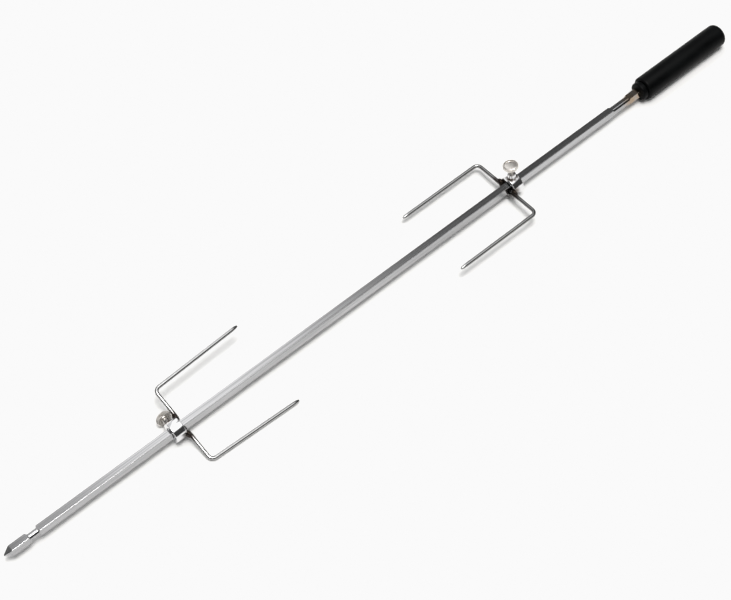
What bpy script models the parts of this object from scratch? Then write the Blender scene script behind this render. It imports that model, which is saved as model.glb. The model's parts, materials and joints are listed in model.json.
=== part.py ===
"""Rotisserie spit: a square bar with a pointed drive end, two sliding meat forks and a handle.

The bar lies along X with its point at -X. The spit rests on a flat surface on its handle, on the
low prong of the front fork and on the head of the front thumb screw. Units are metres.
"""

import math

import bmesh
import bpy
from mathutils import Matrix, Vector

# Clearances
GAP = 0.0003  # between pieces that touch on the real spit
BORE_PLAY = 0.00045  # collar bore over the corners of the bar

# Square bar, from the point to the shoulder that the handle sits against
BAR_WIDTH = 0.008
BAR_EDGE_ROUND = 0.0004
BAR_LENGTH = 0.8045
POINT_LENGTH = 0.0078
POINT_TIP_WIDTH = 0.0012
DRIVE_HEAD_LENGTH = 0.0178
FRONT_NECK_LENGTH = 0.0127
FRONT_NECK_DIAMETER = 0.0070
REAR_NECK_DIAMETER = 0.0090
SHOULDER_LENGTH = 0.0016  # the cone where the turned necks run out into the square
REAR_NECK_LENGTH = 0.026
REAR_STUB_LENGTH = 0.0145
TANG_DIAMETER = 0.006
TANG_LENGTH = 0.040

# Handle
GRIP_DIAMETER = 0.025
GRIP_LENGTH = 0.1165
GRIP_FRONT_ROUND = 0.0022
GRIP_END_ROUND = 0.0055
NOSE_DIAMETER = 0.020
NOSE_LENGTH = 0.0062
NOSE_ROUND = 0.0012
INSERT_DIAMETER = 0.012
INSERT_LENGTH = 0.032
INSERT_FLANGE_DIAMETER = 0.0145
INSERT_FLANGE_LENGTH = 0.002

# Fork collar and its threaded boss
COLLAR_DIAMETER = 0.021
COLLAR_LENGTH = 0.012
COLLAR_EDGE = 0.0006
BOSS_DIAMETER = 0.0086
BOSS_HEIGHT = 0.0046

# Fork wire
WIRE_DIAMETER = 0.004
FORK_SPAN = 0.0862
PRONG_LENGTH = 0.100
PRONG_TAPER_LENGTH = 0.007
PRONG_TIP_SHARE = 0.42  # radius at the tip, as a share of the wire's radius
CORNER_RADIUS = 0.0055
SADDLE_FILLET = 0.003
WELD_SIZE = Vector((0.0026, 0.0040, 0.0035))

# Thumb screws
SCREW_DIAMETER = 0.006
SCREW_LENGTH = 0.013  # from the tip to the underside of the head
SCREW_POINT = 0.0008
HEAD_DIAMETER = 0.016
HEAD_THICKNESS = 0.0045
HEAD_TEETH = 30
HEAD_TOOTH_DEPTH = 0.0005
HEAD_SOCKET_DEPTH = 0.0026

# Where the forks sit along the bar, measured from the point, and how they lie
FRONT_FORK_X = 0.1935
REAR_FORK_X = 0.624
FRONT_PRONG_SPLAY = math.radians(2.4)
REAR_PRONG_SPLAY = math.radians(0.0)
REAR_FORK_TILT = math.radians(-4.4)
REAR_SCREW_BACKED_OUT = 0.0057

# Derived sizes
AXIS_HEIGHT = GRIP_DIAMETER / 2
WIRE_RADIUS = WIRE_DIAMETER / 2
COLLAR_BORE_RADIUS = BAR_WIDTH / math.sqrt(2) + BORE_PLAY
SADDLE_RADIUS = COLLAR_BORE_RADIUS + WIRE_RADIUS + GAP / 2
SCREW_TIP_REST = BAR_WIDTH / 2 + GAP
HEAD_UNDERSIDE = SCREW_TIP_REST + SCREW_LENGTH
CUT_MARGIN = 0.001

# The front screw's head rests on the surface, so the bar is rolled until its rim comes down to it
HEAD_OUTER_FACE = HEAD_UNDERSIDE + HEAD_THICKNESS
HEAD_REACH = math.hypot(HEAD_OUTER_FACE, HEAD_DIAMETER / 2)
HEAD_RIM_ANGLE = math.atan2(HEAD_DIAMETER / 2, HEAD_OUTER_FACE)
BAR_ROLL = math.asin(AXIS_HEIGHT / HEAD_REACH) - HEAD_RIM_ANGLE

# The front fork leans until the tip of its low prong meets the surface
FRONT_TIP_SPREAD = FORK_SPAN / 2 + PRONG_LENGTH * math.tan(FRONT_PRONG_SPLAY)
FRONT_FORK_TILT = math.asin((AXIS_HEIGHT - WIRE_RADIUS) / FRONT_TIP_SPREAD)

ROUND_STEPS = 48
SMALL_STEPS = 32


for old in list(bpy.data.objects):
    bpy.data.objects.remove(old, do_unlink=True)

scene = bpy.context.scene
parts = bpy.data.collections.new("rotisserie_spit")
cutters = bpy.data.collections.new("cutters")
scene.collection.children.link(parts)
scene.collection.children.link(cutters)
cutters.hide_render = True


def make_material(name, color, metallic, roughness):
    material = bpy.data.materials.new(name)
    material.use_nodes = True
    shader = material.node_tree.nodes["Principled BSDF"]
    shader.inputs["Base Color"].default_value = (*color, 1.0)
    shader.inputs["Metallic"].default_value = metallic
    shader.inputs["Roughness"].default_value = roughness
    return material


NICKEL = make_material("bar_nickel", (0.60, 0.59, 0.57), 1.0, 0.28)
CHROME = make_material("collar_chrome", (0.76, 0.76, 0.77), 1.0, 0.12)
WIRE_CHROME = make_material("wire_chrome", (0.70, 0.70, 0.71), 1.0, 0.18)
WELD_STEEL = make_material("weld_steel", (0.20, 0.16, 0.13), 1.0, 0.45)
SCREW_NICKEL = make_material("screw_nickel", (0.72, 0.69, 0.65), 1.0, 0.22)
GRIP_BLACK = make_material("grip_black", (0.018, 0.019, 0.020), 0.0, 0.42)
INSERT_STEEL = make_material("insert_steel", (0.50, 0.50, 0.49), 1.0, 0.35)


def make_empty(name, location, rotation, parent=None):
    empty = bpy.data.objects.new(name, None)
    empty.empty_display_size = 0.01
    empty.location = location
    empty.rotation_euler = rotation
    empty.parent = parent
    parts.objects.link(empty)
    return empty


def make_object(name, mesh, material, parent, location=(0, 0, 0), rotation=(0, 0, 0)):
    """A part, or a cutter where there is no material."""
    obj = bpy.data.objects.new(name, mesh)
    obj.location = location
    obj.rotation_euler = rotation
    obj.parent = parent
    if material is None:
        cutters.objects.link(obj)
        obj.hide_render = True
        obj.display_type = "WIRE"
    else:
        parts.objects.link(obj)
        mesh.materials.append(material)
    return obj


def turned_mesh(name, profile, closed):
    """A profile of (radius, height) points that runs down its outer side."""
    mesh = bpy.data.meshes.new(name)
    points = [(radius, 0.0, height) for radius, height in profile]
    edges = [(i, i + 1) for i in range(len(points) - 1)]
    if closed:
        edges.append((len(points) - 1, 0))
    mesh.from_pydata(points, edges, [])
    return mesh


def spin_about_z(obj, steps):
    screw = obj.modifiers.new("turned", "SCREW")
    screw.axis = "Z"
    screw.angle = math.tau
    screw.steps = steps
    screw.render_steps = steps
    screw.use_merge_vertices = True
    screw.merge_threshold = 0.00001
    screw.use_smooth_shade = False


def turned_part(name, profile, material, parent, location, rotation, steps, closed):
    mesh = turned_mesh(name, profile, closed)
    obj = make_object(name, mesh, material, parent, location, rotation)
    spin_about_z(obj, steps)
    return obj


def cut(obj, cutter, operation="DIFFERENCE"):
    boolean = obj.modifiers.new("cut_" + cutter.name, "BOOLEAN")
    boolean.operation = operation
    boolean.solver = "EXACT"
    boolean.object = cutter


def round_edges(obj, width, segments):
    bevel = obj.modifiers.new("rounded", "BEVEL")
    bevel.width = width
    bevel.segments = segments
    bevel.limit_method = "ANGLE"
    bevel.angle_limit = math.radians(30)


def tube_profile(outer, inner, low, high, edge=0.0):
    """A ring's closed profile, with its outer edges broken by edge."""
    return [
        (outer - edge, high),
        (outer, high - edge),
        (outer, low + edge),
        (outer - edge, low),
        (inner, low),
        (inner, high),
    ]


def neck_profile(radius, low, high, shoulder):
    """A ring that turns the bar down to radius, with cones that run out past its corners."""
    outer = BAR_WIDTH
    flare = shoulder * (outer - radius) / (BAR_WIDTH / math.sqrt(2) - radius)
    return [
        (outer, high + flare - shoulder),
        (outer, low - flare + shoulder),
        (radius, low + shoulder),
        (radius, high - shoulder),
    ]


def rod_profile(radius, low, high, low_edge=0.0, high_edge=0.0):
    """A solid rod's profile from axis to axis, with broken edges."""
    profile = [(0.0, high)]
    if high_edge:
        profile.append((radius - high_edge, high))
    profile.append((radius, high - high_edge))
    profile.append((radius, low + low_edge))
    if low_edge:
        profile.append((radius - low_edge, low))
    profile.append((0.0, low))
    return profile


def arc_points(center, radius, start, end, count):
    """Points round an arc in a plane, with both ends, as (across, up) pairs."""
    step = (end - start) / count
    return [
        (
            center[0] + radius * math.cos(start + step * i),
            center[1] + radius * math.sin(start + step * i),
        )
        for i in range(count + 1)
    ]


ALONG_BAR = (0, math.pi / 2, 0)  # turns a piece's own Z axis to lie along the bar

root = make_empty("spit_axis", (0, 0, AXIS_HEIGHT), (0, 0, 0))
bar_frame = make_empty("bar_frame", (0, 0, 0), (-BAR_ROLL, 0, 0), root)


# Spit bar
def make_bar():
    mesh = bpy.data.meshes.new("spit_bar")
    body = bmesh.new()
    square_length = BAR_LENGTH - POINT_LENGTH + TANG_LENGTH
    bmesh.ops.create_cube(body, size=1.0)
    bmesh.ops.scale(body, vec=(square_length, BAR_WIDTH, BAR_WIDTH), verts=body.verts)
    middle = POINT_LENGTH + square_length / 2
    bmesh.ops.translate(body, vec=(middle, 0, 0), verts=body.verts)
    front = min(body.faces, key=lambda face: face.calc_center_median().x)
    grown = bmesh.ops.extrude_discrete_faces(body, faces=[front])["faces"][0]
    tip_share = POINT_TIP_WIDTH / BAR_WIDTH
    bmesh.ops.scale(body, vec=(1, tip_share, tip_share), verts=grown.verts)
    bmesh.ops.translate(body, vec=(-POINT_LENGTH, 0, 0), verts=grown.verts)
    body.to_mesh(mesh)
    body.free()
    bar = make_object("spit_bar", mesh, NICKEL, bar_frame)
    round_edges(bar, BAR_EDGE_ROUND, 2)
    front_neck = POINT_LENGTH + DRIVE_HEAD_LENGTH
    rear_neck = BAR_LENGTH - REAR_STUB_LENGTH - REAR_NECK_LENGTH
    tang_end = BAR_LENGTH + TANG_LENGTH
    for name, diameter, low, high, shoulder in (
        (
            "front_neck_cutter",
            FRONT_NECK_DIAMETER,
            front_neck,
            front_neck + FRONT_NECK_LENGTH,
            SHOULDER_LENGTH,
        ),
        (
            "rear_neck_cutter",
            REAR_NECK_DIAMETER,
            rear_neck,
            rear_neck + REAR_NECK_LENGTH,
            SHOULDER_LENGTH,
        ),
        ("tang_cutter", TANG_DIAMETER, BAR_LENGTH, tang_end + CUT_MARGIN, 0.0),
    ):
        profile = neck_profile(diameter / 2, low, high, shoulder)
        ring = turned_part(
            name, profile, None, bar_frame, (0, 0, 0), ALONG_BAR, ROUND_STEPS, True
        )
        cut(bar, ring)
    return bar


# Handle: nose ring, grip and the threaded insert inside the grip
def make_handle():
    nose_start = BAR_LENGTH + GAP
    nose_end = nose_start + NOSE_LENGTH
    grip_start = nose_end + GAP
    grip_end = grip_start + GRIP_LENGTH
    tang_hole = TANG_DIAMETER / 2 + GAP
    turned_part(
        "handle_nose_ring",
        tube_profile(NOSE_DIAMETER / 2, tang_hole, nose_start, nose_end, NOSE_ROUND),
        GRIP_BLACK,
        root,
        (0, 0, 0),
        ALONG_BAR,
        ROUND_STEPS,
        True,
    )
    radius = GRIP_DIAMETER / 2
    end_arc = arc_points(
        (radius - GRIP_END_ROUND, grip_end - GRIP_END_ROUND),
        GRIP_END_ROUND,
        math.pi / 2,
        0.0,
        6,
    )
    front_arc = arc_points(
        (radius - GRIP_FRONT_ROUND, grip_start + GRIP_FRONT_ROUND),
        GRIP_FRONT_ROUND,
        0.0,
        -math.pi / 2,
        4,
    )
    pocket = INSERT_DIAMETER / 2 + GAP
    flange_pocket = INSERT_FLANGE_DIAMETER / 2 + GAP
    flange_floor = grip_start + INSERT_FLANGE_LENGTH + GAP
    pocket_floor = grip_start + INSERT_LENGTH + GAP
    tang_floor = max(pocket_floor, BAR_LENGTH + TANG_LENGTH + GAP)
    profile = [(0.0, grip_end)] + end_arc + front_arc
    profile += [(flange_pocket, grip_start), (flange_pocket, flange_floor)]
    profile += [(pocket, flange_floor), (pocket, pocket_floor)]
    profile += [(tang_hole, pocket_floor), (tang_hole, tang_floor + CUT_MARGIN)]
    profile += [(0.0, tang_floor + CUT_MARGIN)]
    turned_part(
        "handle_grip",
        profile,
        GRIP_BLACK,
        root,
        (0, 0, 0),
        ALONG_BAR,
        ROUND_STEPS,
        False,
    )
    insert_end = grip_start + INSERT_LENGTH
    flange_end = grip_start + INSERT_FLANGE_LENGTH
    turned_part(
        "handle_insert",
        [
            (INSERT_DIAMETER / 2, insert_end),
            (INSERT_DIAMETER / 2, flange_end),
            (INSERT_FLANGE_DIAMETER / 2, flange_end),
            (INSERT_FLANGE_DIAMETER / 2, grip_start),
            (tang_hole, grip_start),
            (tang_hole, insert_end),
        ],
        INSERT_STEEL,
        root,
        (0, 0, 0),
        ALONG_BAR,
        SMALL_STEPS,
        True,
    )


# Fork wire: prongs, crossbar and the saddle that passes under the bar
def half_wire_path(facing, splay):
    """One side of the wire, from the middle of the saddle to the prong's tip."""
    reach = SADDLE_RADIUS + SADDLE_FILLET
    fillet_across = math.sqrt(reach**2 - SADDLE_FILLET**2)
    meeting = math.asin(SADDLE_FILLET / reach)
    crown = arc_points((0, 0), SADDLE_RADIUS, -math.pi / 2, -meeting, 8)
    fillet = arc_points(
        (fillet_across, -SADDLE_FILLET),
        SADDLE_FILLET,
        math.pi - meeting,
        math.pi / 2,
        5,
    )
    wire_x = facing * (COLLAR_LENGTH / 2 + GAP + WIRE_RADIUS)
    path = [Vector((wire_x, across, up)) for across, up in crown + fillet[1:]]
    turn = math.pi / 2 - splay
    corner_across = FORK_SPAN / 2 - CORNER_RADIUS * math.tan(turn / 2)
    corner = arc_points(
        (0, corner_across), CORNER_RADIUS, math.pi, math.pi - turn, 7
    )
    for ahead, across in corner:
        path.append(Vector((wire_x + facing * (CORNER_RADIUS + ahead), across, 0)))
    direction = Vector((facing * math.cos(splay), math.sin(splay), 0))
    bend_end = path[-1]
    run = (PRONG_LENGTH + WIRE_RADIUS - facing * (bend_end.x - wire_x)) / math.cos(splay)
    path.append(bend_end + direction * (run - PRONG_TAPER_LENGTH))
    path.append(bend_end + direction * (run - PRONG_TAPER_LENGTH * 0.3))
    path.append(bend_end + direction * run)
    return path


def wire_curve(name, facing, splay, radius, taper):
    half = half_wire_path(facing, splay)
    other = [Vector((point.x, -point.y, point.z)) for point in half[1:]]
    path = list(reversed(other)) + half
    curve = bpy.data.curves.new(name, "CURVE")
    curve.dimensions = "3D"
    curve.bevel_depth = radius
    curve.bevel_resolution = 4
    curve.use_fill_caps = True
    spline = curve.splines.new("POLY")
    spline.points.add(len(path) - 1)
    for point, place in zip(spline.points, path):
        point.co = (*place, 1.0)
    if taper:
        for end in (0, -1):
            spline.points[end].radius = PRONG_TIP_SHARE
        for near_end in (1, -2):
            spline.points[near_end].radius = 0.82
    return curve


def mesh_from_curve(name, curve, parent):
    """A cutter mesh with the curve's shape and its caps welded on."""
    holder = bpy.data.objects.new(name + "_curve", curve)
    cutters.objects.link(holder)
    bpy.context.view_layer.update()
    graph = bpy.context.evaluated_depsgraph_get()
    mesh = bpy.data.meshes.new_from_object(holder.evaluated_get(graph))
    bpy.data.objects.remove(holder, do_unlink=True)
    shape = bmesh.new()
    shape.from_mesh(mesh)
    bmesh.ops.remove_doubles(shape, verts=shape.verts, dist=0.000001)
    bmesh.ops.recalc_face_normals(shape, faces=shape.faces)
    shape.to_mesh(mesh)
    shape.free()
    return make_object(name, mesh, None, parent)


def make_weld(name, side, facing, fork_frame, wire_space, collar_space):
    end_face = facing * COLLAR_LENGTH / 2
    mesh = bpy.data.meshes.new(name)
    bead = bmesh.new()
    bmesh.ops.create_uvsphere(bead, u_segments=20, v_segments=12, radius=1.0)
    bmesh.ops.scale(bead, vec=WELD_SIZE, verts=bead.verts)
    bead.to_mesh(mesh)
    bead.free()
    place = (end_face + facing * WIRE_RADIUS * 0.7, side * COLLAR_DIAMETER / 2, 0)
    weld = make_object(name, mesh, WELD_STEEL, fork_frame, place)
    cut(weld, wire_space)
    cut(weld, collar_space)
    return weld


# Thumb screw: its own frame has Z pointing out along the screw
def make_thumb_screw(prefix, screw_frame, backed_out):
    tip = SCREW_TIP_REST + backed_out
    underside = HEAD_UNDERSIDE + backed_out
    stud_top = underside + HEAD_SOCKET_DEPTH - GAP
    turned_part(
        prefix + "_screw_stud",
        rod_profile(SCREW_DIAMETER / 2, tip, stud_top, SCREW_POINT, SCREW_POINT / 2),
        SCREW_NICKEL,
        screw_frame,
        (0, 0, 0),
        (0, 0, 0),
        SMALL_STEPS,
        False,
    )
    mesh = bpy.data.meshes.new(prefix + "_screw_head")
    disc = bmesh.new()
    bmesh.ops.create_cone(
        disc,
        cap_ends=True,
        segments=HEAD_TEETH * 2,
        radius1=HEAD_DIAMETER / 2,
        radius2=HEAD_DIAMETER / 2,
        depth=HEAD_THICKNESS,
    )
    tooth_angle = math.tau / (HEAD_TEETH * 2)
    for vert in disc.verts:
        turn = round(math.atan2(vert.co.y, vert.co.x) / tooth_angle)
        if turn % 2:
            shrink = 1 - 2 * HEAD_TOOTH_DEPTH / HEAD_DIAMETER
            vert.co.x *= shrink
            vert.co.y *= shrink
    bmesh.ops.translate(
        disc, vec=(0, 0, underside + HEAD_THICKNESS / 2), verts=disc.verts
    )
    disc.to_mesh(mesh)
    disc.free()
    head = make_object(prefix + "_screw_head", mesh, SCREW_NICKEL, screw_frame)
    socket_top = underside + HEAD_SOCKET_DEPTH
    socket = turned_part(
        prefix + "_socket_cutter",
        rod_profile(SCREW_DIAMETER / 2 + GAP, underside - CUT_MARGIN, socket_top),
        None,
        screw_frame,
        (0, 0, 0),
        (0, 0, 0),
        SMALL_STEPS,
        False,
    )
    cut(head, socket)
    return head


def make_fork(prefix, place, facing, splay, tilt, screw_turn, backed_out):
    """facing is 1 where the prongs point to the handle and -1 where they point to the tip."""
    fork_frame = make_empty(prefix + "_fork_frame", (place, 0, 0), (tilt, 0, 0), root)
    screw_frame = make_empty(
        prefix + "_screw_frame", (place, 0, 0), (screw_turn, 0, 0), root
    )
    half = COLLAR_LENGTH / 2
    collar = turned_part(
        prefix + "_fork_collar",
        tube_profile(
            COLLAR_DIAMETER / 2, COLLAR_BORE_RADIUS, -half, half, COLLAR_EDGE
        ),
        CHROME,
        screw_frame,
        (0, 0, 0),
        ALONG_BAR,
        ROUND_STEPS,
        True,
    )
    screw_hole = turned_part(
        prefix + "_screw_hole_cutter",
        rod_profile(SCREW_DIAMETER / 2 + GAP, CUT_MARGIN, COLLAR_DIAMETER),
        None,
        screw_frame,
        (0, 0, 0),
        (0, 0, 0),
        SMALL_STEPS,
        False,
    )
    cut(collar, screw_hole)
    collar_space = turned_part(
        prefix + "_collar_space_cutter",
        rod_profile(COLLAR_DIAMETER / 2 + GAP, -half - GAP, half + GAP),
        None,
        screw_frame,
        (0, 0, 0),
        ALONG_BAR,
        ROUND_STEPS,
        False,
    )
    boss_top = COLLAR_DIAMETER / 2 + BOSS_HEIGHT
    boss = turned_part(
        prefix + "_screw_boss",
        rod_profile(BOSS_DIAMETER / 2, COLLAR_DIAMETER / 4, boss_top, 0.0, COLLAR_EDGE),
        CHROME,
        screw_frame,
        (0, 0, 0),
        (0, 0, 0),
        SMALL_STEPS,
        False,
    )
    cut(boss, collar_space)
    cut(boss, screw_hole)
    wire = wire_curve(prefix + "_fork_wire", facing, splay, WIRE_RADIUS, True)
    wire.materials.append(WIRE_CHROME)
    wire_object = bpy.data.objects.new(prefix + "_fork_wire", wire)
    wire_object.parent = fork_frame
    parts.objects.link(wire_object)
    spacer = wire_curve(
        prefix + "_wire_space", facing, splay, WIRE_RADIUS + GAP, False
    )
    wire_space = mesh_from_curve(prefix + "_wire_space_cutter", spacer, fork_frame)
    for side_name, side in (("left", 1), ("right", -1)):
        make_weld(
            f"{prefix}_{side_name}_weld",
            side,
            facing,
            fork_frame,
            wire_space,
            collar_space,
        )
    make_thumb_screw(prefix, screw_frame, backed_out)


make_bar()
make_handle()
make_fork(
    "front",
    FRONT_FORK_X,
    1,
    FRONT_PRONG_SPLAY,
    FRONT_FORK_TILT,
    -BAR_ROLL - math.pi / 2,
    0.0,
)
make_fork(
    "rear",
    REAR_FORK_X,
    -1,
    REAR_PRONG_SPLAY,
    REAR_FORK_TILT,
    -BAR_ROLL,
    REAR_SCREW_BACKED_OUT,
)


def stand_on_origin():
    """Moves the spit so that the middle of its base is at the origin."""
    bpy.context.view_layer.update()
    graph = bpy.context.evaluated_depsgraph_get()
    corners = []
    for obj in parts.objects:
        if obj.type == "EMPTY":
            continue
        evaluated = obj.evaluated_get(graph)
        mesh = evaluated.to_mesh()
        place = evaluated.matrix_world
        corners += [place @ vert.co for vert in mesh.vertices]
        evaluated.to_mesh_clear()
    low = Vector([min(corner[i] for corner in corners) for i in range(3)])
    high = Vector([max(corner[i] for corner in corners) for i in range(3)])
    root.location.x -= (low.x + high.x) / 2
    root.location.y -= (low.y + high.y) / 2
    root.location.z -= low.z


stand_on_origin()

for obj in parts.objects:
    if obj.type == "MESH":
        obj.data.set_sharp_from_angle(angle=math.radians(30))

bpy.context.view_layer.update()
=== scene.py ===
import json
import math

import bmesh
import bpy
from mathutils import Matrix, Vector


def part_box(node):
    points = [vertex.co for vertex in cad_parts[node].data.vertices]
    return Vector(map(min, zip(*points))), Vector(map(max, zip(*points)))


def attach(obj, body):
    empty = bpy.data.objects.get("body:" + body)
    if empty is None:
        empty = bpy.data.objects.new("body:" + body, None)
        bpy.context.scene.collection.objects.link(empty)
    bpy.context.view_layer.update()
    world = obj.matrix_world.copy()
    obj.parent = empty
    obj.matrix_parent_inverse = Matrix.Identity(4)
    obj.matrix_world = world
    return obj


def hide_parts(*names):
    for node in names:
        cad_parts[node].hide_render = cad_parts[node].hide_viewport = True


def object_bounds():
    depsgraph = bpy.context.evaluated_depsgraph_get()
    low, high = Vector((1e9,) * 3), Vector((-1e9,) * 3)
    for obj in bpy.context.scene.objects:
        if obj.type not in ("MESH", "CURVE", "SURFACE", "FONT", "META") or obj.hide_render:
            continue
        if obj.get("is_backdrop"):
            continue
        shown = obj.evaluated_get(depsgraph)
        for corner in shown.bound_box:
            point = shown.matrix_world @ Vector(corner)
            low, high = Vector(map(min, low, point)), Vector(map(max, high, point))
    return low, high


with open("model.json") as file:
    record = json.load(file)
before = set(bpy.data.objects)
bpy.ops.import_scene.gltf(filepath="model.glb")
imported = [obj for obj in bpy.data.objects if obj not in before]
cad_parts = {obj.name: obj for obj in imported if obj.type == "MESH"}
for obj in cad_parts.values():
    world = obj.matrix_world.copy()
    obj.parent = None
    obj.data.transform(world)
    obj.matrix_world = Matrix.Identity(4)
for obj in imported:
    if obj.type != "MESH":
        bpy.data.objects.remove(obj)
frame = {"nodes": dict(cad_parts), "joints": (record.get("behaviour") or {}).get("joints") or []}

cad_low, cad_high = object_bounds()

# ---------------------------------------------------------------- Where the spit lies
# The bar's axis runs along X at the height of the grip's middle. The rear thumb screw stands on
# one flat of the bar and the front one on the next, so their axes say how the bar is rolled.

joints = {joint["name"]: joint for joint in frame["joints"]}
grip_low, grip_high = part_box("handle_grip")
axis_y = (grip_low.y + grip_high.y) / 2
axis_z = (grip_low.z + grip_high.z) / 2
rear_screw_out = Vector(joints["rear_screw_travel"]["axis"]).normalized()
front_screw_out = Vector(joints["front_screw_travel"]["axis"]).normalized()
along_bar = Vector((1, 0, 0))
upwards = Vector((0, 0, 1))


def lying_at(x, up):
    """A frame on the bar's axis, with its X along the bar and its Z along up."""
    across = up.cross(along_bar)
    turn = Matrix((along_bar, across, up)).transposed().to_4x4()
    return Matrix.Translation((x, axis_y, axis_z)) @ turn


# ---------------------------------------------------------------- Spit bar
# One length of bright drawn square steel bar. Its drive end is ground to a four-sided point, two
# necks are turned in it to run in the grill's brackets, and a turned tang enters the handle.

bar_width = 0.008
bar_edge_round = 0.0006
point_length = 0.0078
point_tip_width = 0.0012
drive_head_length = 0.0178
front_neck_length = 0.0127
front_neck_radius = 0.0035
rear_neck_length = 0.026
rear_neck_radius = 0.0045
rear_stub_length = 0.0145
tang_radius = 0.003
tang_chamfer = 0.0006
shoulder = 0.0016
fit_gap = 0.0003
cut_margin = 0.001


def new_piece(name):
    """Names the primitive that was just added."""
    piece = bpy.context.object
    piece.name = name
    piece.data.name = name
    return piece


def pick_only(piece):
    """Makes the piece the only one selected, and the active one."""
    bpy.ops.object.select_all(action="DESELECT")
    bpy.context.view_layer.objects.active = piece
    piece.select_set(True)


def put_in_place(piece, place):
    """Moves a piece that was made at the origin, with its place kept in its mesh."""
    pick_only(piece)
    piece.matrix_world = place @ piece.matrix_world
    bpy.ops.object.transform_apply(location=True, rotation=True, scale=True)


def edit(piece):
    pick_only(piece)
    bpy.ops.object.mode_set(mode="EDIT")


def leave_edit():
    bpy.ops.object.mode_set(mode="OBJECT")


def pick_faces(piece, test):
    """In edit mode, selects only the faces that pass the test."""
    shape = bmesh.from_edit_mesh(piece.data)
    for face in shape.faces:
        face.select_set(False)
    for edge in shape.edges:
        edge.select_set(False)
    for vert in shape.verts:
        vert.select_set(False)
    for face in shape.faces:
        if test(face):
            face.select_set(True)
    bmesh.update_edit_mesh(piece.data)


def pick_edges(piece, test):
    """In edit mode, selects only the edges that pass the test."""
    bpy.ops.mesh.select_mode(type="EDGE")
    shape = bmesh.from_edit_mesh(piece.data)
    for face in shape.faces:
        face.select_set(False)
    for edge in shape.edges:
        edge.select_set(test(edge))
    bmesh.update_edit_mesh(piece.data)


def smooth(piece, angle):
    """Shades the piece smooth, but for edges that turn by more than angle degrees."""
    pick_only(piece)
    bpy.ops.object.shade_smooth_by_angle(angle=math.radians(angle))


def face_outwards(piece):
    """Merges doubled corners and turns every face outwards."""
    edit(piece)
    bpy.ops.mesh.select_all(action="SELECT")
    bpy.ops.mesh.remove_doubles(threshold=0.000001)
    bpy.ops.mesh.normals_make_consistent(inside=False)
    leave_edit()


def turn_on_lathe(name, stations, sides):
    """A closed turned piece along X through (x, radius) stations, extruded ring by ring."""
    first_x, first_radius = stations[0]
    bpy.ops.mesh.primitive_circle_add(
        vertices=sides,
        radius=first_radius,
        fill_type="NOTHING",
        location=(first_x, 0, 0),
        rotation=(0, math.pi / 2, 0),
    )
    piece = new_piece(name)
    bpy.ops.object.transform_apply(location=True, rotation=True, scale=True)
    edit(piece)
    bpy.ops.mesh.select_all(action="SELECT")
    x, radius = first_x, first_radius
    for next_x, next_radius in stations[1:]:
        bpy.ops.mesh.extrude_region_move(
            TRANSFORM_OT_translate={"value": (next_x - x, 0, 0)}
        )
        share = next_radius / radius
        bpy.ops.transform.resize(
            value=(1, share, share), center_override=(next_x, 0, 0)
        )
        x, radius = next_x, next_radius
    leave_edit()
    close_ends(piece)
    return piece


def close_ends(piece):
    """Fills the open rings at a piece's ends and turns its faces outwards."""
    edit(piece)
    bpy.ops.mesh.select_mode(type="EDGE")
    bpy.ops.mesh.select_all(action="DESELECT")
    bpy.ops.mesh.select_non_manifold()
    bpy.ops.mesh.fill_holes(sides=0)
    leave_edit()
    face_outwards(piece)


def apply_boolean(piece, tool, operation):
    """Cuts the piece with a tool, which is used up."""
    cut = piece.modifiers.new("cut", "BOOLEAN")
    cut.operation = operation
    cut.solver = "EXACT"
    cut.object = tool
    pick_only(piece)
    bpy.ops.object.modifier_apply(modifier=cut.name)
    bpy.data.objects.remove(tool, do_unlink=True)


bar_low, bar_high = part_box("spit_bar")
nose_low, nose_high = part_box("handle_nose_ring")
bar_start = bar_low.x
bar_shoulder = nose_low.x - fit_gap

stock_start = bar_start + point_length
stock_length = bar_high.x - stock_start
bpy.ops.mesh.primitive_cube_add(size=1, location=(stock_start + stock_length / 2, 0, 0))
bar = new_piece("square_bar")
bar.scale = (stock_length, bar_width, bar_width)
bpy.ops.object.transform_apply(location=True, rotation=True, scale=True)
edit(bar)
pick_faces(bar, lambda face: face.normal.x < -0.9)
bpy.ops.mesh.extrude_region_move(
    TRANSFORM_OT_translate={"value": (-point_length, 0, 0)}
)
tip_share = point_tip_width / bar_width
bpy.ops.transform.resize(
    value=(1, tip_share, tip_share), center_override=(bar_start, 0, 0)
)
pick_edges(bar, lambda edge: True)
bpy.ops.mesh.bevel(offset=bar_edge_round, segments=6, affect="EDGES")
leave_edit()

front_neck = stock_start + drive_head_length
front_neck_end = front_neck + front_neck_length
rear_neck_end = bar_shoulder - rear_stub_length
rear_neck = rear_neck_end - rear_neck_length
clear_radius = bar_width
half_diagonal = bar_width / math.sqrt(2)


def neck_stations(start, end, radius):
    """A turned neck with short cones that run out past the bar's corners."""
    run_out = shoulder * (clear_radius - radius) / (half_diagonal - radius) - shoulder
    return [
        (start - run_out, clear_radius),
        (start + shoulder, radius),
        (end - shoulder, radius),
        (end + run_out, clear_radius),
    ]


envelope = turn_on_lathe(
    "turning_envelope",
    [(bar_start - cut_margin, clear_radius)]
    + neck_stations(front_neck, front_neck_end, front_neck_radius)
    + neck_stations(rear_neck, rear_neck_end, rear_neck_radius)
    + [
        (bar_shoulder, clear_radius),
        (bar_shoulder, tang_radius),
        (bar_high.x - tang_chamfer, tang_radius),
        (bar_high.x, tang_radius - tang_chamfer),
    ],
    sides=96,
)
apply_boolean(bar, envelope, "INTERSECT")
put_in_place(bar, lying_at(0, rear_screw_out))
smooth(bar, angle=28)


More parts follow.
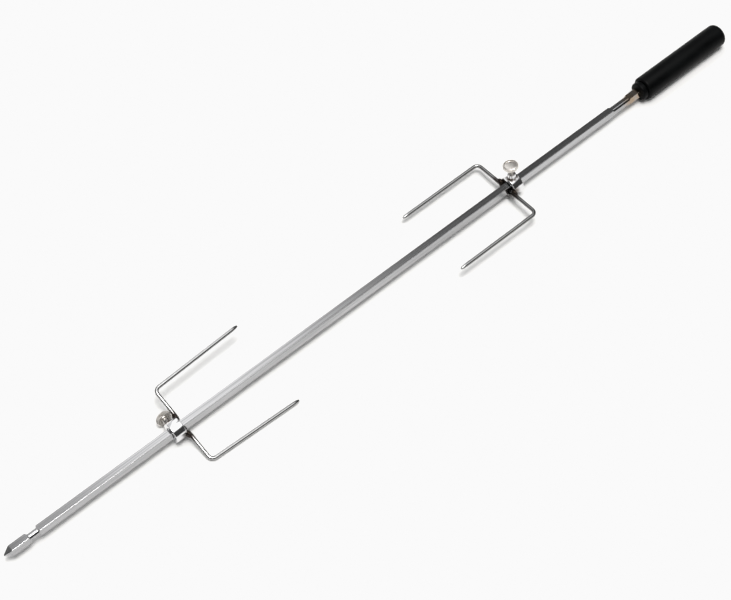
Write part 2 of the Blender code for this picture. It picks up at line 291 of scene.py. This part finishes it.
class Finish:
    """A Principled shader whose colour, roughness and bump follow noise on Object coordinates."""

    def __init__(self, name, metallic, roughness):
        self.material = bpy.data.materials.new(name)
        self.material.use_nodes = True
        self.tree = self.material.node_tree
        self.shader = self.tree.nodes["Principled BSDF"]
        self.shader.inputs["Metallic"].default_value = metallic
        self.shader.inputs["Roughness"].default_value = roughness
        self.coordinates = self.tree.nodes.new("ShaderNodeTexCoord")

    def link(self, source, target):
        self.tree.links.new(source, target)

    def mapping(self, scale, rotation=(0, 0, 0)):
        """Object coordinates, scaled so that a pattern is fine where scale is large."""
        node = self.tree.nodes.new("ShaderNodeMapping")
        node.inputs["Scale"].default_value = scale
        node.inputs["Rotation"].default_value = rotation
        self.link(self.coordinates.outputs["Object"], node.inputs["Vector"])
        return node.outputs["Vector"]

    def noise(self, vector, scale, detail):
        node = self.tree.nodes.new("ShaderNodeTexNoise")
        node.inputs["Scale"].default_value = scale
        node.inputs["Detail"].default_value = detail
        node.inputs["Roughness"].default_value = 0.55
        self.link(vector, node.inputs["Vector"])
        return node.outputs["Fac"]

    def ramp(self, value, stops):
        """A colour that runs through the stops as value goes from 0 to 1."""
        node = self.tree.nodes.new("ShaderNodeValToRGB")
        elements = node.color_ramp.elements
        while len(elements) < len(stops):
            elements.new(0.5)
        for element, (position, color) in zip(elements, stops):
            element.position = position
            element.color = (*color, 1.0)
        self.link(value, node.inputs["Fac"])
        return node.outputs["Color"]

    def spread(self, value, low, high):
        """The middle half of value's range, where most noise lies, spread over low to high."""
        node = self.tree.nodes.new("ShaderNodeMapRange")
        node.inputs["From Min"].default_value = 0.25
        node.inputs["From Max"].default_value = 0.75
        node.inputs["To Min"].default_value = low
        node.inputs["To Max"].default_value = high
        self.link(value, node.inputs["Value"])
        return node.outputs["Result"]

    def mix(self, amount, first, second):
        """The first colour at amount 0 and the second at amount 1."""
        node = self.tree.nodes.new("ShaderNodeMix")
        node.data_type = "RGBA"
        self.link(amount, node.inputs["Factor"])
        for color, socket in ((first, 6), (second, 7)):
            if isinstance(color, tuple):
                node.inputs[socket].default_value = (*color, 1.0)
            else:
                self.link(color, node.inputs[socket])
        return node.outputs[2]

    def nearness(self, places, reach, wobble):
        """wobble at the given places, falling to 0 at reach metres from the nearest one."""
        nearest = None
        for place in places:
            distance = self.tree.nodes.new("ShaderNodeVectorMath")
            distance.operation = "DISTANCE"
            distance.inputs[1].default_value = place
            self.link(self.coordinates.outputs["Object"], distance.inputs[0])
            value = distance.outputs["Value"]
            if nearest is not None:
                smaller = self.tree.nodes.new("ShaderNodeMath")
                smaller.operation = "MINIMUM"
                self.link(nearest, smaller.inputs[0])
                self.link(value, smaller.inputs[1])
                value = smaller.outputs[0]
            nearest = value
        fall = self.tree.nodes.new("ShaderNodeMapRange")
        fall.inputs["From Min"].default_value = reach * 0.35
        fall.inputs["From Max"].default_value = reach
        fall.inputs["To Min"].default_value = 1.0
        fall.inputs["To Max"].default_value = 0.0
        fall.interpolation_type = "SMOOTHSTEP"
        self.link(nearest, fall.inputs["Value"])
        product = self.tree.nodes.new("ShaderNodeMath")
        product.operation = "MULTIPLY"
        product.use_clamp = True
        self.link(fall.outputs["Result"], product.inputs[0])
        self.link(wobble, product.inputs[1])
        return product.outputs[0]

    def bump(self, height, strength, distance, under=None):
        """A normal that follows height, on top of the normal given as under."""
        node = self.tree.nodes.new("ShaderNodeBump")
        node.inputs["Strength"].default_value = strength
        node.inputs["Distance"].default_value = distance
        self.link(height, node.inputs["Height"])
        if under is not None:
            self.link(under, node.inputs["Normal"])
        return node.outputs["Normal"]

    def color(self, source):
        self.link(source, self.shader.inputs["Base Color"])

    def roughness(self, source):
        self.link(source, self.shader.inputs["Roughness"])

    def normal(self, source):
        self.link(source, self.shader.inputs["Normal"])


def wear(piece, finish):
    """Gives the whole piece one finish."""
    piece.data.materials.clear()
    piece.data.materials.append(finish.material)


bar_turn = math.atan2(rear_screw_out.y, rear_screw_out.z)
drawn = Finish("drawn_bar_steel", 1.0, 0.12)
grain_space = drawn.mapping((6, 2600, 2600), (bar_turn, 0, 0))
grain = drawn.noise(grain_space, 1.0, 4.0)
cloudy = drawn.noise(drawn.mapping((1, 1, 1)), 45.0, 3.0)
streaks = drawn.noise(drawn.mapping((7, 900, 900), (bar_turn, 0, 0)), 1.0, 3.0)
fine = drawn.ramp(grain, [(0.3, (0.36, 0.36, 0.365)), (0.7, (0.45, 0.45, 0.455))])
broad = drawn.ramp(streaks, [(0.38, (0.34, 0.34, 0.345)), (0.62, (0.54, 0.54, 0.55))])
steel = drawn.mix(drawn.spread(cloudy, 0.5, 0.85), fine, broad)
scorch = drawn.nearness(
    [(rear_neck_end, axis_y, axis_z), (bar_shoulder, axis_y, axis_z)],
    reach=0.013,
    wobble=drawn.spread(cloudy, 0.35, 1.0),
)
drawn.color(drawn.mix(scorch, steel, (0.38, 0.27, 0.17)))
drawn.roughness(drawn.spread(grain, 0.08, 0.17))
pits = drawn.noise(drawn.mapping((1, 1, 1)), 900.0, 2.0)
pitted = drawn.bump(pits, 0.08, 0.00003)
drawn.normal(drawn.bump(grain, 0.2, 0.00002, under=pitted))
wear(bar, drawn)
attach(bar, "spit")
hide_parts("spit_bar")


# ---------------------------------------------------------------- Handle
# A black moulded grip of heat-resistant plastic with a rounded end, and a smaller black ring
# ahead of it. The bar's tang screws into a steel insert that is moulded into the grip.

grip_front_round = 0.0022
grip_end_round = 0.0055
nose_round = 0.0014
insert_radius = 0.006
insert_flange = 0.002
tang_play = 0.0003
room_past_tang = 0.0013

grip_radius = (grip_high.z - grip_low.z) / 2
insert_low, insert_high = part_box("handle_insert")
pocket_radius = (insert_high.z - insert_low.z) / 2 + fit_gap
pocket_floor = insert_low.x + insert_flange + fit_gap
bore_radius = insert_radius + fit_gap
bore_floor = bar_high.x + room_past_tang


def rounded_profile(low_x, high_x, outer, low_round, high_round, high_steps=6):
    """Stations of a turned piece with both outer edges rounded over."""
    stations = [(low_x, outer - low_round)]
    for i in range(1, 7):
        turn = math.pi / 2 * i / 6
        x = low_x + low_round * (1 - math.cos(turn))
        stations.append((x, outer - low_round * (1 - math.sin(turn))))
    for i in range(high_steps + 1):
        turn = math.pi / 2 * i / high_steps
        x = high_x - high_round * (1 - math.sin(turn))
        stations.append((x, outer - high_round * (1 - math.cos(turn))))
    return stations


def bore_out(piece, low, high, radius, sides=64, upright=False):
    """Drills a hole from low to high along X, or along Z if it is upright."""
    middle = (low + high) / 2
    bpy.ops.mesh.primitive_cylinder_add(
        vertices=sides,
        radius=radius,
        depth=high - low,
        location=(0, 0, middle) if upright else (middle, 0, 0),
        rotation=(0, 0, 0) if upright else (0, math.pi / 2, 0),
    )
    drill = new_piece("drill")
    bpy.ops.object.transform_apply(location=True, rotation=True, scale=True)
    apply_boolean(piece, drill, "DIFFERENCE")


grip = turn_on_lathe(
    "grip",
    rounded_profile(
        grip_low.x, grip_high.x, grip_radius, grip_front_round, grip_end_round, high_steps=12
    ),
    sides=128,
)
bore_out(grip, grip_low.x - cut_margin, pocket_floor, pocket_radius)
bore_out(grip, grip_low.x - cut_margin, bore_floor, bore_radius)

nose_radius = (nose_high.z - nose_low.z) / 2
nose = turn_on_lathe(
    "nose_ring",
    rounded_profile(nose_low.x, nose_high.x, nose_radius, nose_round, nose_round),
    sides=96,
)
bore_out(nose, nose_low.x - cut_margin, nose_high.x + cut_margin, tang_radius + tang_play)
for piece in (grip, nose):
    put_in_place(piece, lying_at(0, upwards))
    smooth(piece, angle=40)

moulded = Finish("moulded_grip_plastic", 0.0, 0.45)
moulded.shader.inputs["Specular IOR Level"].default_value = 0.07
skin = moulded.noise(moulded.mapping((1, 1, 1)), 2200.0, 2.0)
rubbed = moulded.noise(moulded.mapping((0.35, 1, 1)), 90.0, 4.0)
moulded.color(
    moulded.ramp(rubbed, [(0.3, (0.0012, 0.0014, 0.0015)), (0.75, (0.0032, 0.0038, 0.004))])
)
moulded.roughness(moulded.spread(rubbed, 0.36, 0.52))
moulded.normal(moulded.bump(skin, 0.22, 0.00006))
for piece, node in ((grip, "handle_grip"), (nose, "handle_nose_ring")):
    wear(piece, moulded)
    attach(piece, "spit")
    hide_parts(node)

turned_steel = Finish("turned_insert_steel", 1.0, 0.35)
tool_marks = turned_steel.noise(turned_steel.mapping((4000, 30, 30)), 1.0, 2.0)
turned_steel.color(
    turned_steel.ramp(tool_marks, [(0.3, (0.40, 0.40, 0.39)), (0.7, (0.56, 0.56, 0.55))])
)
turned_steel.normal(turned_steel.bump(tool_marks, 0.3, 0.00003))
wear(frame["nodes"]["handle_insert"], turned_steel)


# ---------------------------------------------------------------- Fork collars and bosses
# Each fork has a short turned collar that slides on the bar with a little play. A small threaded
# boss is brazed to its side for the thumb screw, and the whole fork is bright chrome plated.

collar_edge = 0.0007
collar_bore = half_diagonal + 0.00045
bore_edge = 0.0004
inside_bore = 0.003
boss_radius = 0.0043
boss_edge = 0.0005
boss_fillet = 0.0001
stud_hole = 0.0034
touching = 0.0001
forks = {"front": front_screw_out, "rear": rear_screw_out}


def collar_middle(fork):
    """Where along the bar the fork's collar is."""
    low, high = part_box(fork + "_fork_collar")
    return (low.x + high.x) / 2


def weld_places(fork):
    """The middles of the fork's two welds."""
    places = []
    for side in ("left", "right"):
        low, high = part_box(f"{fork}_{side}_weld")
        places.append(tuple((low + high) / 2))
    return places


def boss_root(fork):
    """Places round the joint between the fork's boss and its collar."""
    centre = Vector((collar_middle(fork), axis_y, axis_z))
    up = forks[fork]
    aside = up.cross(along_bar)
    low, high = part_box(fork + "_fork_collar")
    root = centre + up * (high.z - low.z) * 0.47
    places = []
    for i in range(8):
        turn = math.tau * i / 8
        rim = along_bar * math.cos(turn) + aside * math.sin(turn)
        places.append(tuple(root + rim * boss_radius))
    return places


def chrome_finish(fork):
    """Bright plate tinted straw and black by the heat of the welds and the brazing; the dark round
    the welds is also painted dark reflection.
    """
    plated = Finish(fork + "_fork_chrome", 1.0, 0.1)
    bloom = plated.noise(plated.mapping((1, 1, 1)), 320.0, 3.0)
    # Painted shade: the dark round the welds is part heat scale, part painted dark reflection of
    # the collar's end.
    weld_scale_and_painted_shade = plated.nearness(weld_places(fork), 0.0095, plated.spread(bloom, 0.6, 1.2))
    braze = plated.nearness(boss_root(fork), 0.0034, plated.spread(bloom, 0.5, 1.1))
    bright = plated.ramp(bloom, [(0.3, (0.74, 0.74, 0.75)), (0.7, (0.82, 0.82, 0.83))])
    straw = plated.ramp(bloom, [(0.35, (0.02, 0.017, 0.017)), (0.65, (0.12, 0.08, 0.055))])
    plated.color(plated.mix(braze, plated.mix(weld_scale_and_painted_shade, bright, straw), straw))
    plated.roughness(plated.spread(bloom, 0.07, 0.15))
    ripple = plated.noise(plated.mapping((1, 1, 1)), 700.0, 2.0)
    plated.normal(plated.bump(ripple, 0.06, 0.00005))
    return plated


chromes = {fork: chrome_finish(fork) for fork in forks}


def reach_of(fork, node):
    """How far out from the bar's axis a node starts and ends, along the fork's screw."""
    centre = Vector((collar_middle(fork), axis_y, axis_z))
    points = frame["nodes"][fork + node].data.vertices
    heights = [(point.co - centre).dot(forks[fork]) for point in points]
    return min(heights), max(heights)


def copy_of(piece, name):
    """A copy with its own mesh, at the place where the first one was made."""
    copied = piece.copy()
    copied.data = piece.data.copy()
    copied.name = name
    copied.data.name = name
    bpy.context.scene.collection.objects.link(copied)
    return copied


def at_bore_mouth(edge):
    """Whether the edge runs round the mouth of the collar's bore."""
    first, second = (vert.co for vert in edge.verts)
    return abs(first.x - second.x) < touching and all(
        abs(math.hypot(corner.y, corner.z) - collar_bore) < touching
        for corner in (first, second)
    )


collar_low, collar_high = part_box("front_fork_collar")
half = (collar_high.x - collar_low.x) / 2
collar_radius = (collar_high.z - collar_low.z) / 2
collar = turn_on_lathe(
    "collar",
    rounded_profile(-half, half, collar_radius, collar_edge, collar_edge),
    sides=128,
)
bore_out(collar, -half - cut_margin, half + cut_margin, collar_bore, sides=96)
edit(collar)
pick_edges(collar, at_bore_mouth)
bpy.ops.mesh.bevel(offset=bore_edge, segments=2, affect="EDGES")
leave_edit()
bore_out(
    collar, inside_bore, collar_radius + 2 * cut_margin, stud_hole, sides=48, upright=True
)

boss_foot, fillet_low, fillet_high = (collar_radius * share for share in (0.72, 0.93, 1.02))
boss_reach = reach_of("front", "_screw_boss")[1]
boss = turn_on_lathe(
    "boss",
    [
        (boss_foot, boss_radius),
        (fillet_low, boss_radius + boss_fillet),
        (collar_radius, boss_radius + boss_fillet),
        (fillet_high, boss_radius),
        (boss_reach - boss_edge, boss_radius),
        (boss_reach - boss_edge * 0.3, boss_radius - boss_edge * 0.3),
        (boss_reach, boss_radius - boss_edge),
    ],
    sides=64,
)
bore_out(boss, boss_foot - cut_margin, boss_reach + cut_margin, stud_hole, sides=48)
stand_up = Matrix.Rotation(-math.pi / 2, 4, "Y")

for fork, screw_out in forks.items():
    fork_collar = copy_of(collar, fork + "_collar")
    put_in_place(fork_collar, lying_at(collar_middle(fork), screw_out))
    fork_boss = copy_of(boss, fork + "_boss")
    put_in_place(fork_boss, lying_at(collar_middle(fork), screw_out) @ stand_up)
    for piece, node in ((fork_collar, "_fork_collar"), (fork_boss, "_screw_boss")):
        smooth(piece, angle=35)
        wear(piece, chromes[fork])
        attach(piece, fork + "_fork")
        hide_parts(fork + node)
bpy.data.objects.remove(collar, do_unlink=True)
bpy.data.objects.remove(boss, do_unlink=True)


# ---------------------------------------------------------------- Fork wires
# Each fork is one length of drawn wire: a prong, a corner, half the crossbar, a saddle that dips
# under the bar, and the same again to the other prong's ground point. It is chrome plated.

wire_radius = 0.002
corner_radius = 0.0055
saddle_fillet = 0.003
saddle_play = 0.00015
taper_length = 0.007
taper_stages = ((0.7, 0.82), (0.3, 0.42))  # share of the taper's length, and width there
wire_sides = 28
bend_step = math.radians(9)
saddle_drop = 0.010


def extrude_end(vector):
    """Draws the selected end ring out by a vector."""
    bpy.ops.mesh.extrude_region_move(TRANSFORM_OT_translate={"value": vector})


def end_middle(piece):
    """The middle of the selected end ring."""
    shape = bmesh.from_edit_mesh(piece.data)
    picked = [vert.co for vert in shape.verts if vert.select]
    return sum(picked, Vector()) / len(picked)


def bend(piece, centre, axis, angle):
    """Bends the wire on from its open end, and stops if it went the wrong way round."""
    start = end_middle(piece)
    want = centre + Matrix.Rotation(angle, 3, axis) @ (start - centre)
    steps = max(4, round(abs(angle) / bend_step))
    bpy.ops.mesh.spin(
        steps=steps, angle=-angle, center=centre, axis=axis, use_auto_merge=False
    )
    got = end_middle(piece)
    if (got - want).length > touching:
        raise ValueError(f"{piece.name} was bent to {got} instead of {want}")


def half_wire(name, wire_x, facing, span, prong_end, splay):
    """From the saddle's middle out to one prong's tip, on the left of the bar."""
    saddle_radius = collar_bore + wire_radius + saddle_play
    reach = saddle_radius + saddle_fillet
    fillet_across = math.sqrt(reach**2 - saddle_fillet**2)
    meeting = math.asin(saddle_fillet / reach)
    bpy.ops.mesh.primitive_circle_add(
        vertices=wire_sides,
        radius=wire_radius,
        fill_type="NOTHING",
        location=(wire_x, 0, -saddle_radius),
        rotation=(math.pi / 2, 0, 0),
    )
    piece = new_piece(name)
    bpy.ops.object.transform_apply(location=True, rotation=True, scale=True)
    edit(piece)
    bpy.ops.mesh.select_all(action="SELECT")
    bend(piece, Vector((wire_x, 0, 0)), along_bar, math.pi / 2 - meeting)
    fillet_centre = Vector((wire_x, fillet_across, -saddle_fillet))
    bend(piece, fillet_centre, along_bar, -(math.pi / 2 - meeting))
    turn = math.pi / 2 - splay
    corner_start = span / 2 - corner_radius * math.tan(turn / 2)
    extrude_end((0, corner_start - end_middle(piece).y, 0))
    corner_centre = Vector((wire_x + facing * corner_radius, corner_start, 0))
    bend(piece, corner_centre, upwards, -facing * turn)
    direction = Vector((facing * math.cos(splay), math.sin(splay), 0))
    run = (prong_end - end_middle(piece).x) / direction.x
    extrude_end(direction * (run - taper_length))
    width = 1.0
    for length, next_width in taper_stages:
        extrude_end(direction * taper_length * length)
        bpy.ops.transform.resize(
            value=(next_width / width,) * 3, center_override=end_middle(piece)
        )
        width = next_width
    leave_edit()
    return piece


def across_of(fork):
    """From the outside of the fork's right prong to the outside of its left one."""
    points = [vert.co for vert in frame["nodes"][fork + "_fork_wire"].data.vertices]
    left = max(points, key=lambda point: point.y)
    right = min(points, key=lambda point: point.y)
    return Vector((0, left.y - right.y, left.z - right.z))


fork_span = across_of("rear").length - 2 * wire_radius

# The rear wire's lower level is painted dark reflection: both forks carry the same plate.
for fork, facing, painted_reflection_level in (("front", 1, 0.6), ("rear", -1, 0.42)):
    across = across_of(fork)
    wire_low, wire_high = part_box(fork + "_fork_wire")
    middle_x = collar_middle(fork)
    cross_x = (wire_low.x if facing > 0 else wire_high.x) + facing * wire_radius - middle_x
    prong_end = (wire_high.x if facing > 0 else wire_low.x) - middle_x
    spread = across.length - 2 * wire_radius - fork_span
    splay = math.atan2(spread / 2, abs(prong_end - cross_x))
    wire = half_wire(fork + "_prongs", cross_x, facing, fork_span, prong_end, splay)
    mirror = wire.modifiers.new("other_prong", "MIRROR")
    mirror.use_axis = (False, True, False)
    mirror.merge_threshold = 0.00002
    pick_only(wire)
    bpy.ops.object.modifier_apply(modifier=mirror.name)
    close_ends(wire)
    up = along_bar.cross(across.normalized())
    put_in_place(wire, lying_at(middle_x, up))
    smooth(wire, angle=50)

    plated_wire = Finish(fork + "_wire_chrome", 1.0, 0.14)
    bloom = plated_wire.noise(plated_wire.mapping((1, 1, 1)), 260.0, 3.0)
    draw_lines = plated_wire.noise(plated_wire.mapping((12, 1800, 1800)), 1.0, 3.0)
    # Painted shade: the dark round the welds and the saddle is weld heat scale plus painted shadow
    # and dark reflection under the bar.
    wire_middle = (wire_low + wire_high) / 2
    saddle = (middle_x + cross_x, wire_middle.y, wire_middle.z - saddle_drop)
    weld_scale_and_painted_shade = plated_wire.nearness(
        [*weld_places(fork), saddle],
        reach=0.0125,
        wobble=plated_wire.spread(bloom, 0.55, 1.1),
    )
    bright = plated_wire.ramp(
        draw_lines, [(0.3, (0.64 * painted_reflection_level,) * 3), (0.7, (0.75 * painted_reflection_level,) * 3)]
    )
    # This near-black colour is both weld scale and painted shade.
    plated_wire.color(plated_wire.mix(weld_scale_and_painted_shade, bright, (0.045, 0.035, 0.032)))
    plated_wire.roughness(plated_wire.spread(bloom, 0.10, 0.20))
    plated_wire.normal(plated_wire.bump(draw_lines, 0.12, 0.00003))
    wear(wire, plated_wire)
    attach(wire, fork + "_fork")
    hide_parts(fork + "_fork_wire")


# ---------------------------------------------------------------- Welds
# The wire is fused to the collar's end with one bead on each side. The beads are lumpy, and
# their heat leaves a brown and blue-black scale that the plating does not hide.

weld_stand_out = 1.1

scaled = Finish("weld_scale", 0.85, 0.5)
lumps = scaled.noise(scaled.mapping((1, 1, 1)), 900.0, 4.0)
scaled.color(
    scaled.ramp(
        lumps,
        [
            (0.30, (0.008, 0.008, 0.010)),
            (0.55, (0.030, 0.023, 0.020)),
            (0.75, (0.13, 0.09, 0.06)),
        ],
    )
)
scaled.roughness(scaled.spread(lumps, 0.28, 0.6))
scaled.normal(scaled.bump(lumps, 0.6, 0.0002))
bpy.ops.mesh.primitive_ico_sphere_add(subdivisions=4, radius=1.0, location=(0, 0, 0))
bead = new_piece("weld_bead")
edit(bead)
bpy.ops.mesh.select_all(action="SELECT")
bpy.ops.transform.vertex_random(offset=0.2, uniform=0.0, normal=1.0, seed=4)
bpy.ops.mesh.vertices_smooth(factor=0.5, repeat=3)
leave_edit()

for fork in forks:
    for side in ("left", "right"):
        node = f"{fork}_{side}_weld"
        low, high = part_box(node)
        weld = copy_of(bead, node + "_bead")
        weld.scale = (high - low) / 2 * weld_stand_out
        put_in_place(weld, Matrix.Translation((low + high) / 2))
        smooth(weld, angle=60)
        wear(weld, scaled)
        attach(weld, fork + "_fork")
        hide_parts(node)
bpy.data.objects.remove(bead, do_unlink=True)


# ---------------------------------------------------------------- Thumb screws
# A nickel-plated screw with a round head that is knurled round its rim. Its threaded stud runs
# through the boss and the collar's wall to press on a flat of the bar.

head_radius = 0.008
head_edge = 0.0005
head_step = 0.0003
hub_radius = head_radius * 0.62
hub_foot_radius = head_radius * 0.64
rim_radius = head_radius * 0.80
dish_radius = head_radius * 0.76
dish_depth = 0.0007
dome = 0.0005
socket_depth = 0.0026
knurl_teeth = 48
knurl_depth = 0.0005
stud_radius = 0.003
thread_pitch = 0.001
thread_depth = 0.00045
crest_flat = 0.00004
crest_start, crest_end = 0.42, 0.55  # shares of the pitch
tip_chamfer = 0.0009
tip_length = 0.0007
first_groove = 0.0009
thread_end_gap = 0.0002

nickel = Finish("screw_nickel_plate", 1.0, 0.2)
handled = nickel.noise(nickel.mapping((1, 1, 1)), 380.0, 4.0)
nickel.color(
    nickel.ramp(handled, [(0.3, (0.74, 0.70, 0.66)), (0.7, (0.86, 0.83, 0.79))])
)
nickel.roughness(nickel.spread(handled, 0.30, 0.42))
scuffs = nickel.noise(nickel.mapping((900, 900, 60)), 1.0, 3.0)
nickel.normal(nickel.bump(scuffs, 0.10, 0.00004))


def pick_corners(piece, test):
    """In edit mode, selects only the corners that pass the test."""
    bpy.ops.mesh.select_mode(type="VERT")
    shape = bmesh.from_edit_mesh(piece.data)
    for vert in shape.verts:
        vert.select_set(test(vert))
    shape.select_flush_mode()
    bmesh.update_edit_mesh(piece.data)


underside, top = reach_of("front", "_screw_head")
dish = [
    (top - dish_depth + dome * (1 - (share / 10) ** 2), dish_radius * share / 10)
    for share in (9, 8, 7, 6, 5, 4, 3, 2, 1, 0.2)
]
head = turn_on_lathe(
    "thumb_screw_head",
    [
        (underside, hub_radius),
        (underside + head_step, hub_foot_radius),
        (underside + head_step, head_radius - head_edge - head_step),
        (underside + head_edge + head_step, head_radius),
        (top - head_edge - head_step, head_radius),
        (top - head_step, head_radius - head_edge),
        (top, head_radius - 2 * head_edge),
        (top, rim_radius),
        (top - dish_depth, dish_radius),
        *dish,
    ],
    sides=knurl_teeth * 4,
)
edit(head)
column_width = math.tau / knurl_teeth / 4
for column, depth in ((1, 0.5), (2, 1.0), (3, 0.5)):
    pick_corners(
        head,
        lambda vert: math.hypot(vert.co.y, vert.co.z) > head_radius * 0.97
        and round(math.atan2(vert.co.z, vert.co.y) / column_width) % 4 == column,
    )
    share = 1 - knurl_depth * depth / head_radius
    bpy.ops.transform.resize(value=(1, share, share), center_override=(0, 0, 0))
leave_edit()
bore_out(
    head, underside - cut_margin, underside + socket_depth, stud_radius + fit_gap, sides=48
)

tip, stud_end = reach_of("front", "_screw_stud")
root_radius = stud_radius - thread_depth
crest_radius = stud_radius - crest_flat
stations = [(tip, stud_radius - tip_chamfer), (tip + tip_length, root_radius)]
height = tip + first_groove
while height + thread_pitch < stud_end - thread_end_gap:
    stations += [
        (height, root_radius),
        (height + thread_pitch * crest_start, crest_radius),
        (height + thread_pitch * crest_end, crest_radius),
    ]
    height += thread_pitch
stations += [(height, root_radius), (stud_end, root_radius)]
stud = turn_on_lathe("thumb_screw_stud", stations, sides=48)

for fork, screw_out in forks.items():
    backed_out = reach_of(fork, "_screw_stud")[0] - tip
    place = lying_at(collar_middle(fork), screw_out) @ stand_up
    for piece, name, angle, body in (
        (copy_of(head, fork + "_thumb_screw_head"), "_screw_head", 30, "_head"),
        (copy_of(stud, fork + "_thumb_screw_stud"), "_screw_stud", 25, "_stud"),
    ):
        put_in_place(piece, place @ Matrix.Translation((backed_out, 0, 0)))
        smooth(piece, angle)
        wear(piece, nickel)
        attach(piece, fork + body)
        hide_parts(fork + name)
bpy.data.objects.remove(head, do_unlink=True)
bpy.data.objects.remove(stud, do_unlink=True)


# ---------------------------------------------------------------- Studio
# A pale table under a bright ceiling and a soft overhead light, in a room that is dark but for
# one tall bright strip behind the spit. A long lens looks down from the right of the handle.

table_size = 16.0
bpy.ops.mesh.primitive_plane_add(size=table_size, location=(0, 0, cad_low.z))
table = new_piece("pale_table")
bpy.ops.object.transform_apply(location=True, rotation=True, scale=True)
paper = Finish("table_paper", 0.0, 0.85)
tooth_noise = paper.noise(paper.mapping((1, 1, 1)), 6.0, 2.0)
paper.color(
    paper.ramp(tooth_noise, [(0.3, (0.905, 0.905, 0.895)), (0.7, (0.915, 0.915, 0.91))])
)
paper.shader.inputs["Specular IOR Level"].default_value = 0.2
wear(table, paper)
table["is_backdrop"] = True

strip_heading = math.radians(16)
strip_brightness = 1.75
ceiling_brightness = 1.8
dark_level = 0.05

world = bpy.data.worlds.new("studio_room")
bpy.context.scene.world = world
world.use_nodes = True
room = world.node_tree
background = room.nodes["Background"]
directions = room.nodes.new("ShaderNodeTexCoord")
parts = room.nodes.new("ShaderNodeSeparateXYZ")
room.links.new(directions.outputs["Generated"], parts.inputs[0])
beside = room.nodes.new("ShaderNodeVectorMath")
beside.operation = "DOT_PRODUCT"
beside.inputs[1].default_value = (math.cos(strip_heading), -math.sin(strip_heading), 0)
room.links.new(directions.outputs["Generated"], beside.inputs[0])


def brightness_along(value, stops):
    """The world's brightness as a direction's value goes from -1 to 1."""
    share = room.nodes.new("ShaderNodeMapRange")
    share.inputs["From Min"].default_value = -1.0
    share.inputs["From Max"].default_value = 1.0
    room.links.new(value, share.inputs["Value"])
    ramp = room.nodes.new("ShaderNodeValToRGB")
    elements = ramp.color_ramp.elements
    while len(elements) < len(stops):
        elements.new(0.5)
    for element, (position, level) in zip(elements, stops):
        element.position = (position + 1) / 2
        element.color = (level, level, level, 1)
    room.links.new(share.outputs["Result"], ramp.inputs["Fac"])
    return ramp.outputs["Color"]


def together(operation, first, second):
    """Joins two sockets or numbers with one operation of a Math node."""
    node = room.nodes.new("ShaderNodeMath")
    node.operation = operation
    for value, socket in ((first, node.inputs[0]), (second, node.inputs[1])):
        if isinstance(value, (int, float)):
            socket.default_value = value
        else:
            room.links.new(value, socket)
    return node.outputs[0]


ceiling = brightness_along(
    parts.outputs["Z"], [(-1, 0.02), (0.60, 0.02), (0.80, 0.03), (0.86, 0.9), (0.92, 1.0), (1, 1.0)]
)
strip = brightness_along(
    beside.outputs["Value"],
    [
        (-1, 0.07),
        (-0.30, 0.21),
        (-0.09, 0.43),
        (-0.053, 0.47),
        (-0.025, 0.84),
        (0.0, 0.97),
        (0.03, 1.0),
        (0.075, 0.87),
        (0.105, 0.57),
        (0.137, 0.35),
        (0.165, 0.155),
        (0.19, 0.10),
        (0.25, 0.08),
        (1, 0.07),
    ],
)
behind = brightness_along(parts.outputs["Y"], [(-1, 0.0), (0.0, 0.0), (0.15, 1.0), (1, 1.0)])
strip_part = together("MULTIPLY", together("MULTIPLY", strip, behind), strip_brightness)
ceiling_part = together("MULTIPLY", ceiling, ceiling_brightness)
room.links.new(
    together("MAXIMUM", strip_part, together("MAXIMUM", ceiling_part, dark_level)),
    background.inputs["Strength"],
)
background.inputs["Color"].default_value = (1.0, 1.0, 1.0, 1)

towards_light = Vector((0.0, -0.1, 0.995))
lamp = bpy.data.lights.new("overhead_light", "SUN")
lamp.energy = 1.9
lamp.angle = math.radians(22)
lamp.color = (1.0, 0.99, 0.975)
overhead = bpy.data.objects.new("overhead_light", lamp)
overhead.rotation_euler = towards_light.to_track_quat("Z", "Y").to_euler()
bpy.context.scene.collection.objects.link(overhead)

camera_elevation = math.radians(57.9)
camera_heading = math.radians(40.88)
camera_distance = 1.739
focal_length = 88.06
white_level = 0.955
look_at = Vector((-0.0435, -0.0074, axis_z))
right = Vector((math.cos(camera_heading), -math.sin(camera_heading), 0))
level = Vector((math.sin(camera_heading), math.cos(camera_heading), 0))
forward = level * math.cos(camera_elevation) - upwards * math.sin(camera_elevation)
top_of_view = level * math.sin(camera_elevation) + upwards * math.cos(camera_elevation)
lens = bpy.data.cameras.new("camera")
lens.lens = focal_length
lens.sensor_width = 36
lens.clip_start = 0.05
lens.clip_end = 50
camera = bpy.data.objects.new("camera", lens)
camera.matrix_world = Matrix.Translation(look_at - forward * camera_distance) @ Matrix(
    (right, top_of_view, -forward)
).transposed().to_4x4()
bpy.context.scene.collection.objects.link(camera)
bpy.context.scene.camera = camera

tones = bpy.context.scene.view_settings
tones.view_transform = "Standard"
tones.use_curve_mapping = True
tones.curve_mapping.extend = "HORIZONTAL"
all_channels = tones.curve_mapping.curves[3]
all_channels.points[0].location = (0.0, 0.0)
all_channels.points[1].location = (1.0, white_level)
tones.curve_mapping.update()

low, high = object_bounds()
